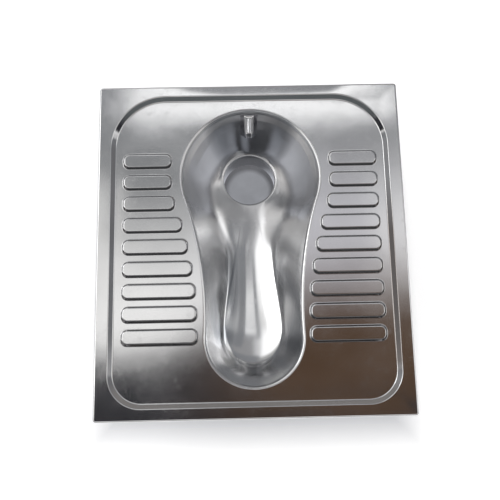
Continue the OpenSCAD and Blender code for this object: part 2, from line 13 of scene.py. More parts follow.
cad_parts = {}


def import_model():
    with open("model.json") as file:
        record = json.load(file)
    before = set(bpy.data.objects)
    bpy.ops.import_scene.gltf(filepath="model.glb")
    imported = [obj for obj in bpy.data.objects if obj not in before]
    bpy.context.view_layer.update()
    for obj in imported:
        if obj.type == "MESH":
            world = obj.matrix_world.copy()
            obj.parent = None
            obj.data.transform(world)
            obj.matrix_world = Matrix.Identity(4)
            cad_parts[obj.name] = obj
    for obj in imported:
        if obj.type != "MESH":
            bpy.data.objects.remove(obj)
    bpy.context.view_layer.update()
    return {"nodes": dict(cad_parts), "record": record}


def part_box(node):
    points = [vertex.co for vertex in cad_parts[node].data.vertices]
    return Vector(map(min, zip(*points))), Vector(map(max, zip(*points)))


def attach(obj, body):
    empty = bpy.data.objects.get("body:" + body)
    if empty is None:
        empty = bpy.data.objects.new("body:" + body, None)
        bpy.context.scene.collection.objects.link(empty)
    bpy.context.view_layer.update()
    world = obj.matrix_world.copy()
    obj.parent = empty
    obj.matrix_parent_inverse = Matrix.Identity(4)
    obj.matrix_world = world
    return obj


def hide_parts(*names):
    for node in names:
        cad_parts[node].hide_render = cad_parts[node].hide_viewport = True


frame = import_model()
MM = 0.001
BODY = "root"


def box_mm(node):
    """Lowest and highest corner of a CAD node, in millimetres."""
    lo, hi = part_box(node)
    return np.array(lo) / MM, np.array(hi) / MM


# ---------------------------------------------------------------- sizes
DECK_LO, DECK_HI = box_mm("deck_plate")
DECK_W, DECK_L = DECK_HI[0] - DECK_LO[0], DECK_HI[1] - DECK_LO[1]
DECK_Z, SKIRT_END_Z = DECK_HI[2], DECK_LO[2]
FOOT_Z = box_mm("bowl_shell")[1][2]
SHEET = 1.5
PITCH = 5.0          # between the points of a flat area's mesh
LEVEL_BAND = 0.6     # level strip beside each bend, so that the bend's shading ends there

# A rounded rectangle: its width, its length, and the radii of its rear and its front corners
SKIRT_CORNER_R, SKIRT_CORNER_STEPS = 5.0, 8
SKIRT = (DECK_W, DECK_L, SKIRT_CORNER_R, SKIRT_CORNER_R)
SKIRT_BEND_R, SKIRT_BEND_STEPS = 3.0, 6
SKIRT_LOW_BAND, SKIRT_HIGH_BAND = 9.0, 12.0

BORDER_SIDE, BORDER_BACK, BORDER_FRONT = 21.0, 18.0, 19.0
RECESS_RUN, RECESS_BACK_R, RECESS_FRONT_R, RECESS_CORNER_STEPS = 7.0, 90.0, 53.0, 30
RECESS_TOP_BEND_R, RECESS_FOOT_BEND_R, RECESS_BEND_STEPS = 1.9, 2.5, 5
RECESS_W = DECK_W - 2 * BORDER_SIDE
RECESS_L = DECK_L - BORDER_BACK - BORDER_FRONT
RECESS_Y = (BORDER_FRONT - BORDER_BACK) / 2
RECESS = (RECESS_W, RECESS_L, RECESS_BACK_R, RECESS_FRONT_R)

TREAD_COUNT, TREAD_PITCH, TREAD_BACK_Y = 9, 36.4, 145.0
TREAD_L, TREAD_CORNER_R, TREAD_RISE, TREAD_RUN, TREAD_CORNER_STEPS = 26.5, 11.0, 3.5, 3.0, 12
TREAD_FOOT_BEND_R, TREAD_TOP_BEND_R, TREAD_BEND_STEPS = 1.1, 1.8, 4
TREAD_OUTER_GAP, TREAD_BACK_GAP, TREAD_FRONT_GAP = 12.0, 18.0, 13.0
TREAD_OUTER = RECESS_W / 2 - RECESS_RUN - TREAD_OUTER_GAP

# A pear outline: rear arc's place and radius, front arc's place and radius, radius of the flanks
OPENING = (118.0, 112.0, -149.0, 76.0, 620.0)
BOWL_FLOOR = (156.0, 54.0, -137.0, 53.5, 800.0)
LIP_R, LIP_STEPS, COLLAR_H = 4.0, 12, 7.0
BOWL_DEPTH, TROUGH_DEPTH, TROUGH_HOLLOW = 140.0, 100.0, 12.0
TROUGH_ROUNDNESS, SIDE_ROUNDNESS, REAR_ROUNDNESS = 1.35, 1.85, 1.5
DRAIN_Y, DRAIN_R, DRAIN_EDGE_R, DRAIN_EDGE_STEPS, DRAIN_DISH = 156.0, 46.3, 4.0, 8, 30.0
DRAIN_COLLAR_DROPS = (5.0, 10.0)
DRAIN_EDGE_OUT = DRAIN_R + DRAIN_EDGE_R
DRAIN_Z = FOOT_Z - BOWL_DEPTH
BOWL_TOP_Z = FOOT_Z - COLLAR_H

# Edges that turn by more than this many degrees stay crisp
DECK_SHARP, BOWL_SHARP, HOOD_SHARP, CAD_SHARP = 35.0, 50.0, 60.0, 30.0


# ---------------------------------------------------------------- mesh building
LEAST_PITCH_SHARE = 0.55     # how near a grid point may lie to an outline
SAME_POINT = 1e-5


class Sheet:
    """A surface that grows ring by ring. Points are in millimetres."""

    def __init__(self):
        self.points = []
        self.faces = []

    def ring(self, xy, z):
        start = len(self.points)
        zs = np.broadcast_to(z, (len(xy),))
        self.points += [(p[0], p[1], h) for p, h in zip(xy, zs)]
        return list(range(start, len(self.points)))

    def ring3(self, xyz):
        start = len(self.points)
        self.points += [tuple(p) for p in xyz]
        return list(range(start, len(self.points)))

    def strip(self, outer, inner):
        """Quads between two closed rings that run anticlockwise, facing up when inner lies inside."""
        n = len(outer)
        for i in range(n):
            j = (i + 1) % n
            self.faces.append((outer[i], outer[j], inner[j], inner[i]))

    def strips(self, rings):
        for outer, inner in zip(rings, rings[1:]):
            self.strip(outer, inner)

    def flat(self, outer, holes):
        """Fills the level area between rings with triangles, and with a grid of points inside it."""
        z = self.points[outer[0]][2]
        loops = [outer] + holes
        ids = [i for loop in loops for i in loop]
        flat_xy = np.array([self.points[i][:2] for i in ids])
        outlines = [np.array([self.points[i][:2] for i in loop]) for loop in loops]
        lo, hi = outlines[0].min(0), outlines[0].max(0)
        rows = np.arange(lo[1] + PITCH / 2, hi[1], PITCH * math.sqrt(3) / 2)
        grid = np.array([(x + (k % 2) * PITCH / 2, y)
                         for k, y in enumerate(rows)
                         for x in np.arange(lo[0] + PITCH / 2, hi[0], PITCH)]).reshape(-1, 2)
        grid = grid[between_outlines(outlines, grid)]
        for loop in outlines:
            grid = grid[outline_distance(loop, grid) > LEAST_PITCH_SHARE * PITCH]
        edges, start = [], 0
        for loop in loops:
            n = len(loop)
            edges += [(start + i, start + (i + 1) % n) for i in range(n)]
            start += n
        coords = [Vector(p) for p in flat_xy] + [Vector(p) for p in grid]
        verts, _, faces, orig, _, _ = geometry.delaunay_2d_cdt(coords, edges, [], 1, SAME_POINT)
        place = []
        for v, sources in zip(verts, orig):
            known = [s for s in sources if s < len(ids)]
            if known:
                place.append(ids[known[0]])
            else:
                self.points.append((v.x, v.y, z))
                place.append(len(self.points) - 1)
        centres = np.array([np.mean([verts[i] for i in f], axis=0) for f in faces])
        keep = between_outlines(outlines, centres)
        self.faces += [tuple(place[i] for i in f) for f, k in zip(faces, keep) if k]

    def mesh(self, name, sharp):
        """The sheet as an object, still without a thickness."""
        data = bpy.data.meshes.new(name)
        data.from_pydata([(p[0] * MM, p[1] * MM, p[2] * MM) for p in self.points], [], self.faces)
        data.validate()
        smooth(data, sharp)
        thing = bpy.data.objects.new(name, data)
        bpy.context.scene.collection.objects.link(thing)
        return thing


def smooth(data, sharp):
    """Shades a mesh smooth. Edges that turn by more than sharp degrees stay crisp."""
    data.shade_smooth()
    data.set_sharp_from_angle(angle=math.radians(sharp))


def inside(outline, points):
    """Which points lie inside a closed outline."""
    x, y = points[:, 0], points[:, 1]
    result = np.zeros(len(points), bool)
    for (x0, y0), (x1, y1) in zip(outline, np.roll(outline, -1, axis=0)):
        if y0 == y1:
            continue
        crosses = (y0 > y) != (y1 > y)
        result ^= crosses & (x < (x1 - x0) * (y - y0) / (y1 - y0) + x0)
    return result


def between_outlines(outlines, points):
    """Which points lie inside the first outline and in none of the others."""
    keep = inside(outlines[0], points)
    for hole in outlines[1:]:
        keep &= ~inside(hole, points)
    return keep


def outline_distance(outline, points):
    """Distance from each point to the nearest side of a closed outline."""
    nearest = np.full(len(points), np.inf)
    for a, b in zip(outline, np.roll(outline, -1, axis=0)):
        side = b - a
        along = np.clip((points - a) @ side / max(side @ side, SAME_POINT ** 2), 0, 1)
        nearest = np.minimum(nearest, np.linalg.norm(points - a - along[:, None] * side, axis=1))
    return nearest


def thicken(thing, thickness):
    """Gives a sheet its thickness, below or behind the face that is seen, and applies it."""
    modifier = thing.modifiers.new("thickness", "SOLIDIFY")
    modifier.thickness = thickness * MM
    modifier.offset = -1.0
    modifier.use_even_offset = True
    modifier.use_quality_normals = True
    graph = bpy.context.evaluated_depsgraph_get()
    done = bpy.data.meshes.new_from_object(thing.evaluated_get(graph))
    old = thing.data
    thing.modifiers.clear()
    thing.data = done
    bpy.data.meshes.remove(old)


def inset_rect(rect, inset, corner_steps, middle=(0.0, 0.0)):
    """Points of a rounded rectangle that is drawn in, anticlockwise from its right side's rear end.

    Outlines of one rectangle have the same number of points, however far they are drawn in."""
    full_w, full_l, full_back_r, full_front_r = rect
    side_steps = max(1, round((full_l - full_back_r - full_front_r) / PITCH))
    back_steps = max(1, round((full_w - 2 * full_back_r) / PITCH))
    front_steps = max(1, round((full_w - 2 * full_front_r) / PITCH))
    w, l = full_w - 2 * inset, full_l - 2 * inset
    back_r, front_r = full_back_r - inset, full_front_r - inset
    corners = [((w / 2 - back_r, l / 2 - back_r), back_r, 0.0),
               ((back_r - w / 2, l / 2 - back_r), back_r, 90.0),
               ((front_r - w / 2, front_r - l / 2), front_r, 180.0),
               ((w / 2 - front_r, front_r - l / 2), front_r, 270.0)]
    arcs = []
    for (cx, cy), r, start in corners:
        turn = np.radians(start + 90.0 * np.arange(corner_steps + 1) / corner_steps)
        arcs.append(np.stack([cx + r * np.cos(turn), cy + r * np.sin(turn)], axis=1))
    points = []
    for k, steps in enumerate((back_steps, side_steps, front_steps, side_steps)):
        arc, following = arcs[k], arcs[(k + 1) % 4]
        share = np.arange(1, steps)[:, None] / steps
        points += [arc, arc[-1] + (following[0] - arc[-1]) * share]
    return np.concatenate(points) + middle


def quarter_turn(steps, first=1):
    """Angles of a quarter turn, without its start."""
    return [math.radians(90 * k / steps) for k in range(first, steps + 1)]


def bend_profile(run, drop, first_r, second_r, steps):
    """A step in a sheet as [inwards, down], with a bend at each end. A fold line lies at 0 and at run."""
    turn = math.atan2(abs(drop), run)
    sign = math.copysign(1.0, drop)
    first_t, second_t = first_r * math.tan(turn / 2), second_r * math.tan(turn / 2)
    result = [(-first_t - LEVEL_BAND, 0.0)]
    for k in range(steps + 1):
        a = turn * k / steps
        result.append((-first_t + first_r * math.sin(a), sign * first_r * (1 - math.cos(a))))
    for k in range(steps + 1):
        a = turn * (1 - k / steps)
        result.append((run + second_t - second_r * math.sin(a), drop - sign * second_r * (1 - math.cos(a))))
    result.append((run + second_t + LEVEL_BAND, drop))
    return result


# ---------------------------------------------------------------- pear outlines
def flank_centre(pear):
    """Middle of the right flank's arc, which bends towards the bowl."""
    back_y, back_r, front_y, front_r, flank_r = pear
    a, b = flank_r + back_r, flank_r + front_r
    y = (b * b - a * a + back_y ** 2 - front_y ** 2) / (2 * (back_y - front_y))
    return np.array([math.sqrt(a * a - (y - back_y) ** 2), y])


def touch_angles(pear):
    """Angles, seen from the rear and the front arc's centre, at which the flank takes over."""
    c = flank_centre(pear)
    return math.atan2(c[1] - pear[0], c[0]), math.atan2(c[1] - pear[2], c[0])


def half_width(pear, y):
    """Half the width of a pear at a place along the deck."""
    back_y, back_r, front_y, front_r, flank_r = pear
    back, front = touch_angles(pear)
    c = flank_centre(pear)
    y = np.asarray(y, float)
    at_back = np.sqrt(np.maximum(0, back_r ** 2 - (y - back_y) ** 2))
    at_front = np.sqrt(np.maximum(0, front_r ** 2 - (y - front_y) ** 2))
    at_flank = c[0] - np.sqrt(np.maximum(0, flank_r ** 2 - (y - c[1]) ** 2))
    return np.where(y > back_y + back_r * math.sin(back), at_back,
                    np.where(y < front_y + front_r * math.sin(front), at_front, at_flank))


BACK_STEPS, FLANK_STEPS, FRONT_STEPS = 96, 60, 64


def pear_points(pear, grow=0.0):
    """Points of a pear's outline, moved outwards by grow, anticlockwise from its right flank's front end."""
    back_y, back_r, front_y, front_r, flank_r = pear
    c = flank_centre(pear)
    back, front = touch_angles(pear)
    share = np.arange(FLANK_STEPS) / FLANK_STEPS
    up = front + math.pi + (back - front) * share
    right = c + (flank_r - grow) * np.stack([np.cos(up), np.sin(up)], axis=1)
    turn = back + (math.pi - 2 * back) * np.arange(BACK_STEPS) / BACK_STEPS
    rear = [0, back_y] + (back_r + grow) * np.stack([np.cos(turn), np.sin(turn)], axis=1)
    down = back + math.pi + (front - back) * share
    left = (c + (flank_r - grow) * np.stack([np.cos(down), np.sin(down)], axis=1)) * [-1, 1]
    turn = math.pi - front + (math.pi + 2 * front) * np.arange(FRONT_STEPS) / FRONT_STEPS
    fore = [0, front_y] + (front_r + grow) * np.stack([np.cos(turn), np.sin(turn)], axis=1)
    return np.concatenate([right, rear, left, fore])


# ---------------------------------------------------------------- deck
WARP = 0.45          # how far the pressed sheet lies below its true plane, at most
WARP_EDGE = 30.0     # the sheet comes back to its true plane over this run to its edge
BACK_BOW = 0.63      # how far the back border's outer edge hangs
BOW_POWER = 1.5
BOW_LEFT, BOW_LEFT_RUN, BOW_RIGHT, BOW_RIGHT_RUN = -150.0, 100.0, 180.0, 45.0


def warp(x, y):
    """Soft unevenness of the pressed sheet, as a fall in millimetres, never above the true plane."""
    # Each wave's share, its lengths in mm divided by 2 pi, and its phases
    waves = (0.34 * np.sin(x / 61 + 0.7) * np.cos(y / 83 + 0.4)
             + 0.33 * np.sin(x / 37 - 1.1 + y / 140) * np.sin(y / 52 + 0.9)
             + 0.33 * np.cos((x + y) / 97 + 2.1))
    edge = np.minimum(DECK_W / 2 - np.abs(x), DECK_L / 2 - np.abs(y)) / WARP_EDGE
    # The back border bows down towards its outer edge, least near its corners
    into_border = np.clip((y - (DECK_L / 2 - BORDER_BACK)) / BORDER_BACK, 0, 1)
    from_left = np.clip((x - BOW_LEFT) / BOW_LEFT_RUN, 0, 1)
    from_right = np.clip((BOW_RIGHT - x) / BOW_RIGHT_RUN, 0, 1)
    bow = BACK_BOW * into_border ** BOW_POWER * from_left * from_right
    return -WARP * (0.5 + 0.5 * waves) * np.clip(edge, 0, 1) - bow


def warp_points(points, depth=math.inf):
    """The points with the unevenness added. It fades out over a depth below the foot area."""
    points = np.array(points, float)
    weight = np.clip(1 - (FOOT_Z - points[:, 2]) / depth, 0, 1)
    points[:, 2] += warp(points[:, 0], points[:, 1]) * weight
    return [tuple(p) for p in points]


def tread_places():
    """Each tread as (middle x, middle y, width), on both sides."""
    places = []
    for i in range(TREAD_COUNT):
        y = TREAD_BACK_Y - i * TREAD_PITCH
        share = i / (TREAD_COUNT - 1)
        gap = TREAD_BACK_GAP + (TREAD_FRONT_GAP - TREAD_BACK_GAP) * share
        inner = round(float(max(half_width(OPENING, y + TREAD_L / 2),
                                half_width(OPENING, y - TREAD_L / 2))) + gap)
        for side in (-1, 1):
            places.append((side * (inner + TREAD_OUTER) / 2, y, TREAD_OUTER - inner))
    return places


# The ground weld between deck and bowl is a faint dip. Its steps are (away from its middle, down).
SEAM_DIP, SEAM_RUN = 0.14, 1.1
SEAM_SIDE = ((SEAM_RUN * 0.6, SEAM_DIP * 0.2), (SEAM_RUN * 0.3, SEAM_DIP * 0.6))
SEAM_MEETING = (0.02, SEAM_DIP)


def deck_sheet():
    sheet = Sheet()
    # Skirt, from its lower edge up round the bend to the border
    skirt = [(0.0, SKIRT_END_Z), (0.0, SKIRT_END_Z + SKIRT_LOW_BAND),
             (0.0, DECK_Z - SKIRT_HIGH_BAND), (0.0, DECK_Z - SKIRT_BEND_R)]
    skirt += [(SKIRT_BEND_R * (1 - math.cos(a)), DECK_Z - SKIRT_BEND_R * (1 - math.sin(a)))
              for a in quarter_turn(SKIRT_BEND_STEPS)]
    skirt.append((SKIRT_BEND_R + LEVEL_BAND, DECK_Z))
    border = [sheet.ring(inset_rect(SKIRT, d, SKIRT_CORNER_STEPS), z) for d, z in skirt]
    sheet.strips(border)
    # Slope down to the foot area
    profile = bend_profile(RECESS_RUN, DECK_Z - FOOT_Z, RECESS_TOP_BEND_R, RECESS_FOOT_BEND_R,
                           RECESS_BEND_STEPS)
    slope = [sheet.ring(inset_rect(RECESS, d, RECESS_CORNER_STEPS, (0.0, RECESS_Y)), DECK_Z - h)
             for d, h in profile]
    sheet.strips(slope)
    sheet.flat(border[-1], [slope[0]])
    # Treads
    profile = bend_profile(TREAD_RUN, -TREAD_RISE, TREAD_FOOT_BEND_R, TREAD_TOP_BEND_R, TREAD_BEND_STEPS)
    holes = []
    for x, y, w in tread_places():
        tread = (w, TREAD_L, TREAD_CORNER_R, TREAD_CORNER_R)
        rise = [sheet.ring(inset_rect(tread, d, TREAD_CORNER_STEPS, (x, y)), FOOT_Z - h)
                for d, h in profile]
        sheet.strips(rise)
        sheet.flat(rise[-1], [])
        holes.append(rise[0])
    # Edge of the opening, where the bowl's rim is welded in
    seam = ((SEAM_RUN + LEVEL_BAND, 0.0), (SEAM_RUN, 0.0), *SEAM_SIDE, SEAM_MEETING)
    edge = [sheet.ring(pear_points(OPENING, LIP_R + d), FOOT_Z - h) for d, h in seam]
    sheet.strips(edge)
    sheet.flat(slope[-1], holes + [edge[0]])
    sheet.points = warp_points(sheet.points)
    thing = sheet.mesh("deck_sheet", DECK_SHARP)
    thicken(thing, SHEET)
    return thing


# ---------------------------------------------------------------- bowl
def eased(share):
    """Soft step from 0 to 1."""
    share = np.clip(share, 0, 1)
    return share * share * (3 - 2 * share)


def wall_share(w, roundness):
    """Share of a wall's height at a share of its run. A rounder wall is steeper above and flatter below."""
    return 1 - (1 - w) ** roundness


FRONT_BLEND = 12.0   # how softly the trough's section turns into its front end
WANDER_BACK, WANDER_FRONT, WANDER_START, WANDER_RUN = 12.0, -4.0, 75.0, 60.0
FLOOR_FRONT_END = BOWL_FLOOR[2] - BOWL_FLOOR[3]
FLOOR_DRAIN_END = DRAIN_Y - DRAIN_EDGE_OUT


def floor_depth(x, y):
    """Depth of the bowl's floor below the foot area."""
    along = np.clip((y - FLOOR_FRONT_END) / (FLOOR_DRAIN_END - FLOOR_FRONT_END), 0, 1)
    half = half_width(BOWL_FLOOR, np.clip(y, BOWL_FLOOR[2], DRAIN_Y))
    past_end = FRONT_BLEND * np.logaddexp(0, (BOWL_FLOOR[2] - y) / FRONT_BLEND) / BOWL_FLOOR[3]
    across = np.clip(x / half, -1, 1)
    # The trough's deepest line wanders a little from side to side
    wander = (WANDER_BACK + (WANDER_FRONT - WANDER_BACK) * eased((WANDER_START - y) / WANDER_RUN)) / half
    off_middle = np.clip(across ** 2 - 2 * across * wander * (1 - across ** 2) + past_end ** 2, None, 1)
    deepest = TROUGH_DEPTH + (BOWL_DEPTH - TROUGH_DEPTH) * along
    plain = deepest - TROUGH_HOLLOW * off_middle
    dished = np.clip(1 - (np.hypot(x, y - DRAIN_Y) - DRAIN_EDGE_OUT) / DRAIN_DISH, 0, None)
    return plain + (BOWL_DEPTH - plain) * dished ** 2


def grip(count, start, start_ramp, end_ramp):
    """Weight along a meridian: 0 up to its point number start, then up to 1, and back to 0 at its end.

    It holds the meridian's two ends still while what lies between them is smoothed."""
    level = np.arange(count)
    return np.clip((level - start) / start_ramp, 0, 1) * np.clip((count - 1 - level) / end_ramp, 0, 1)


CREASE_GRIP, RING_GRIP = (1, 24, 6), (2, 14, 10)


def smoothed(curves, passes):
    """Rounds the corners of meridian curves. passes holds how many rounds each meridian gets."""
    curves = curves.copy()
    hold = grip(curves.shape[1], *CREASE_GRIP)
    for done in range(int(passes.max())):
        active = np.clip(passes - done, 0, 1)[:, None, None]
        mean = curves.copy()
        mean[:, 1:-1] = (curves[:, :-2] + curves[:, 2:]) / 2
        curves += (mean - curves) * 0.5 * hold[None, :, None] * active
    return curves


def round_mean(curves):
    """Each point averaged with its neighbours on the meridians beside it."""
    return (np.roll(curves, 1, 0) + 2 * curves + np.roll(curves, -1, 0)) / 4


WALL_SAMPLES, FLOOR_SAMPLES, FLOOR_CROWDING = 72, 44, 1.25
ROUND_PASSES, RING_PASSES, MOST_PASSES = 50, 40, 700
ROUND_GRIP = (0, 0.4 * WALL_SAMPLES, 12)
BASIN_START, BASIN_RUN = 10.0, 90.0    # along Y, where the trough widens into the bowl round the drain
# Softness of the crease between wall and floor: along the trough, and what the two ends add to it
CREASE_SOFT, REAR_SOFTER, REAR_SOFT_RUN = 4.0, 9.0, 100.0
FRONT_SOFTER, FRONT_SOFT_START, FRONT_SOFT_RUN = 6.0, -110.0, 60.0
# How often each wave runs round the drain, how far it moves the wall, and where it starts
FLUTES = ((3, 1.2, 0.4), (5, 1.3, 2.1), (8, 0.8, 4.0), (13, 0.3, 1.0))
FLUTE_FRONT, FLUTE_FRONT_RUN = -150.0, 80.0    # from the drain, along Y
FLUTE_START, FLUTE_RAMP, FLUTE_POWER, FLUTE_END_RAMP = 8, 30, 1.5, 8
RIM_WARP_DEPTH = 25.0


def bowl_curves():
    """The bowl's inner face as meridians from the rim down to the drain's edge."""
    top, foot = pear_points(OPENING), pear_points(BOWL_FLOOR)
    foot_y = foot[:, 1]
    foot_depth = floor_depth(foot[:, 0], foot_y)
    to_drain = foot - [0, DRAIN_Y]
    drain_dirs = to_drain / np.linalg.norm(to_drain, axis=1)[:, None]
    drain = [0, DRAIN_Y] + DRAIN_EDGE_OUT * drain_dirs
    beside, behind = eased((foot_y - BASIN_START) / BASIN_RUN), eased((foot_y - DRAIN_Y) / BOWL_FLOOR[1])
    roundness = TROUGH_ROUNDNESS + (SIDE_ROUNDNESS - TROUGH_ROUNDNESS) * beside
    roundness += (REAR_ROUNDNESS - SIDE_ROUNDNESS) * behind
    levels = []
    for k in range(WALL_SAMPLES):
        w = k / WALL_SAMPLES
        xy = top + (foot - top) * w
        levels.append(np.column_stack([xy, BOWL_TOP_Z - (foot_depth - COLLAR_H) * wall_share(w, roundness)]))
    for k in range(FLOOR_SAMPLES + 1):
        v = (k / FLOOR_SAMPLES) ** FLOOR_CROWDING
        xy = foot + (drain - foot) * v
        levels.append(np.column_stack([xy, FOOT_Z - floor_depth(xy[:, 0], xy[:, 1])]))
    curves = np.stack(levels, axis=1)
    count = curves.shape[1]
    # The walls turn softly from the rear arc into the flanks, more so further down
    softened = curves.copy()
    for _ in range(ROUND_PASSES):
        softened[:, :, :2] = round_mean(softened)[:, :, :2]
    curves += (softened - curves) * grip(count, *ROUND_GRIP)[None, :, None]
    # Even spacing along each meridian, so that smoothing acts alike everywhere
    steps = np.cumsum(np.linalg.norm(np.diff(curves, axis=1), axis=2), axis=1)
    length = np.concatenate([np.zeros((len(curves), 1)), steps], axis=1)
    even = np.empty_like(curves)
    for i, (curve, at) in enumerate(zip(curves, length)):
        wanted = np.linspace(0, at[-1], count)
        even[i] = np.stack([np.interp(wanted, at, curve[:, a]) for a in range(3)], axis=1)
    # The creases along the trough stay crisp, and both ends are rounder
    softness = (CREASE_SOFT + REAR_SOFTER * np.clip((foot_y - BASIN_START) / REAR_SOFT_RUN, 0, 1)
                + FRONT_SOFTER * np.clip((FRONT_SOFT_START - foot_y) / FRONT_SOFT_RUN, 0, 1))
    spacing = length[:, -1] / (count - 1)
    passes = 2 * (softness / spacing) ** 2
    curves = smoothed(even, np.minimum(passes, MOST_PASSES))
    hold = grip(count, *RING_GRIP)
    for _ in range(RING_PASSES):
        curves += (round_mean(curves) - curves) * hold[None, :, None]
    # Faint flutes from drawing the sheet run down the rear walls to the drain
    from_drain = curves[:, :, :2] - [0, DRAIN_Y]
    reach = np.linalg.norm(from_drain, axis=2)
    turn = np.arctan2(from_drain[:, :, 1], from_drain[:, :, 0])
    flute = sum(size * np.cos(waves * turn + phase) for waves, size, phase in FLUTES)
    level = np.arange(count)
    fade = eased((from_drain[:, :, 1] - FLUTE_FRONT) / FLUTE_FRONT_RUN)
    fade = fade * np.clip((level - FLUTE_START) / FLUTE_RAMP, 0, 1) ** FLUTE_POWER
    fade *= np.clip((count - 1 - level) / FLUTE_END_RAMP, 0, 1)
    curves[:, :, :2] += from_drain / reach[:, :, None] * (flute * fade)[:, :, None]
    return curves, drain_dirs


def bowl_sheet():
    sheet = Sheet()
    curves, drain_dirs = bowl_curves()
    # The seam's inner half takes the place of the rounded lip's first step
    seam = (SEAM_MEETING, *((-d, h) for d, h in reversed(SEAM_SIDE)))
    rings = [sheet.ring(pear_points(OPENING, LIP_R + d), FOOT_Z - h) for d, h in seam]
    for a in quarter_turn(LIP_STEPS, first=2):
        rings.append(sheet.ring(pear_points(OPENING, LIP_R - LIP_R * math.sin(a)),
                                FOOT_Z - LIP_R + LIP_R * math.cos(a)))
    for k in range(curves.shape[1]):
        rings.append(sheet.ring3(curves[:, k]))
    # Round the drain's edge and down its collar
    for a in quarter_turn(DRAIN_EDGE_STEPS):
        r = DRAIN_EDGE_OUT - DRAIN_EDGE_R * math.sin(a)
        rings.append(sheet.ring([0, DRAIN_Y] + r * drain_dirs,
                                DRAIN_Z - DRAIN_EDGE_R + DRAIN_EDGE_R * math.cos(a)))
    for drop in DRAIN_COLLAR_DROPS:
        rings.append(sheet.ring([0, DRAIN_Y] + DRAIN_R * drain_dirs, DRAIN_Z - DRAIN_EDGE_R - drop))
    sheet.strips(rings)
    sheet.points = warp_points(sheet.points, RIM_WARP_DEPTH)
    thing = sheet.mesh("bowl_sheet", BOWL_SHARP)
    thicken(thing, SHEET)
    return thing


# ---------------------------------------------------------------- flush hood
HOOD_TOP_W, HOOD_MOUTH_W, HOOD_TOP_RISE, HOOD_MOUTH_RISE, HOOD_T = 35.0, 29.0, 2.0, 20.0, 1.2
HOOD_TOP_SHARE, HOOD_MOUTH_SHARE = 0.02, 0.42    # of the rear wall's run
HOOD_STEPS, HOOD_ACROSS = 40, 36
# Shares of the hood's length: where it starts to rise, over how much, and how much closes its top
HOOD_RISE_START, HOOD_RISE_RUN, HOOD_CLOSING = 0.08, 0.56, 0.1
HOOD_TOP_NARROWER = 0.1
HOOD_SHORTER = 0.34  # how much further up the middle ends than the flanks
# Across, from -1 to 1: half the rounded middle's width, and the ridges' place and width
HOOD_CORE, HOOD_RIDGE_AT, HOOD_RIDGE_W = 0.5, 0.25, 0.12
HOOD_FLANK, HOOD_CORE_RISE, HOOD_RIDGE_RISE = 0.72, 3.0, 0.9
REAR_FOOT = float(floor_depth(np.array(0.0), np.array(DRAIN_Y + BOWL_FLOOR[1])))


def rear_wall(share, x):
    """Place of the rear wall's inner face at a share of the way down, as (y, z)."""
    y = OPENING[0] + (BOWL_FLOOR[0] - OPENING[0]) * share
    r = OPENING[1] + (BOWL_FLOOR[1] - OPENING[1]) * share
    fall = (REAR_FOOT - COLLAR_H) * float(wall_share(share, REAR_ROUNDNESS))
    return y + math.sqrt(r * r - x * x), BOWL_TOP_Z - fall


def hood_sheet():
    """A tapered half tube against the rear wall, closed by a rounded top."""
    sheet = Sheet()
    top_y, top_z = rear_wall(HOOD_TOP_SHARE, HOOD_TOP_W / 2)
    mouth_y, mouth_z = rear_wall(HOOD_MOUTH_SHARE, HOOD_MOUTH_W / 2)
    run = math.hypot(top_y - mouth_y, top_z - mouth_z)
    down = np.array([0, mouth_y - top_y, mouth_z - top_z]) / run
    out = np.array([0, down[2], -down[1]])
    start = np.array([0, top_y, top_z])
    across = [-math.cos(math.pi * i / HOOD_ACROSS) for i in range(HOOD_ACROSS + 1)]
    rows = []
    for k in range(HOOD_STEPS + 1):
        s = k / HOOD_STEPS
        risen = min(1.0, max(0.0, s - HOOD_RISE_START) / HOOD_RISE_RUN)
        closing = math.sqrt(max(0.0, 1 - (1 - min(1.0, s / HOOD_CLOSING)) ** 2))
        rise = (HOOD_TOP_RISE + (HOOD_MOUTH_RISE - HOOD_TOP_RISE) * risen) * closing
        width = HOOD_TOP_W + (HOOD_MOUTH_W - HOOD_TOP_W) * s
        width *= 1 - HOOD_TOP_NARROWER + HOOD_TOP_NARROWER * closing
        row = []
        for u in across:
            # Sloping flanks carry a rounded middle with two soft ridges
            flank = min(1.0, (1 - abs(u)) / (1 - HOOD_CORE))
            middle = math.sqrt(max(0.0, 1 - (u / HOOD_CORE) ** 2)) if abs(u) < HOOD_CORE else 0.0
            ridges = sum(math.exp(-((u - at) / HOOD_RIDGE_W) ** 2) for at in (-HOOD_RIDGE_AT, HOOD_RIDGE_AT))
            height = rise * HOOD_FLANK * flank + HOOD_CORE_RISE * closing * middle
            height += HOOD_RIDGE_RISE * closing * ridges
            reach = s * (1 - HOOD_SHORTER * (1 - u * u))
            row.append(start + down * (run * reach) + out * height + np.array([u * width / 2, 0, 0]))
        rows.append(sheet.ring3(row))
    for upper, lower in zip(rows, rows[1:]):
        for i in range(HOOD_ACROSS):
            sheet.faces.append((upper[i], lower[i], lower[i + 1], upper[i + 1]))
    thing = sheet.mesh("hood_sheet", HOOD_SHARP)
    # The second slot is for the flanks, which carry painted shade in a darker steel
    for k, face in enumerate(thing.data.polygons):
        u = -math.cos(math.pi * (k % HOOD_ACROSS + 0.5) / HOOD_ACROSS)
        face.material_index = int(abs(u) > HOOD_CORE)
    thicken(thing, HOOD_T)
    return thing


